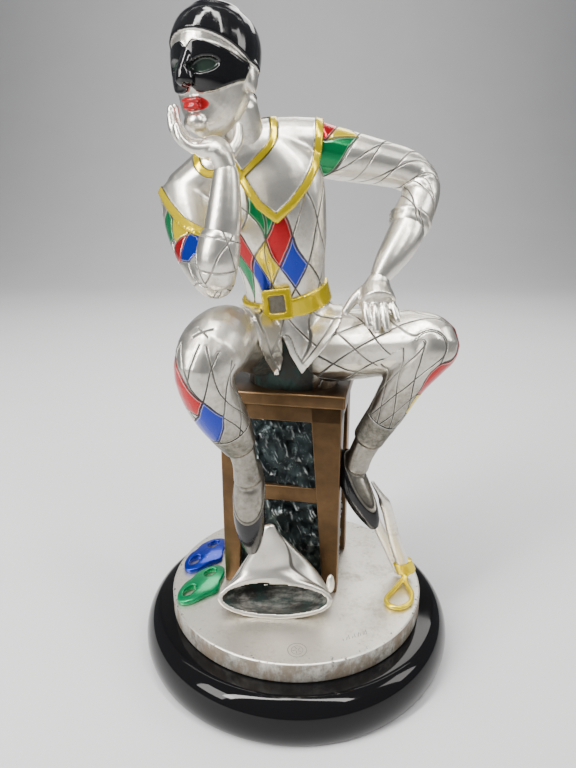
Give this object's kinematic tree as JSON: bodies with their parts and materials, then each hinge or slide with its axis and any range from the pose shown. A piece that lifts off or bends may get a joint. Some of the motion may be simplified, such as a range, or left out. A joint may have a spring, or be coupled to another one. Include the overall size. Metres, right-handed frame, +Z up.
{
  "type": "harlequin statuette",
  "caption": "Masked harlequin seated on a stool with a hat, two masks and a slapstick, on a round plate and a black plinth.",
  "frame": {"origin": "centre of the plinth's underside", "axes": "+Z up, +X to the viewer's right, -Y towards the viewer in front of the figure"},
  "size_m": [0.196, 0.196, 0.3642],
  "materials": {
    "silver": "polished silver layer with dark patina",
    "bronze": "bronze-toned metal layer, worn edges",
    "lacquer": "gloss black lacquer",
    "enamel_blue": "gloss blue enamel",
    "enamel_green": "gloss green enamel"
  },
  "bodies": {
    "root": {"plinth": "lacquer", "base_plate": "silver", "stool": "bronze", "hat": "silver", "mask_blue": "enamel_blue", "mask_green": "enamel_green", "slapstick": "silver", "figure": "silver"}
  },
  "joints": []
}
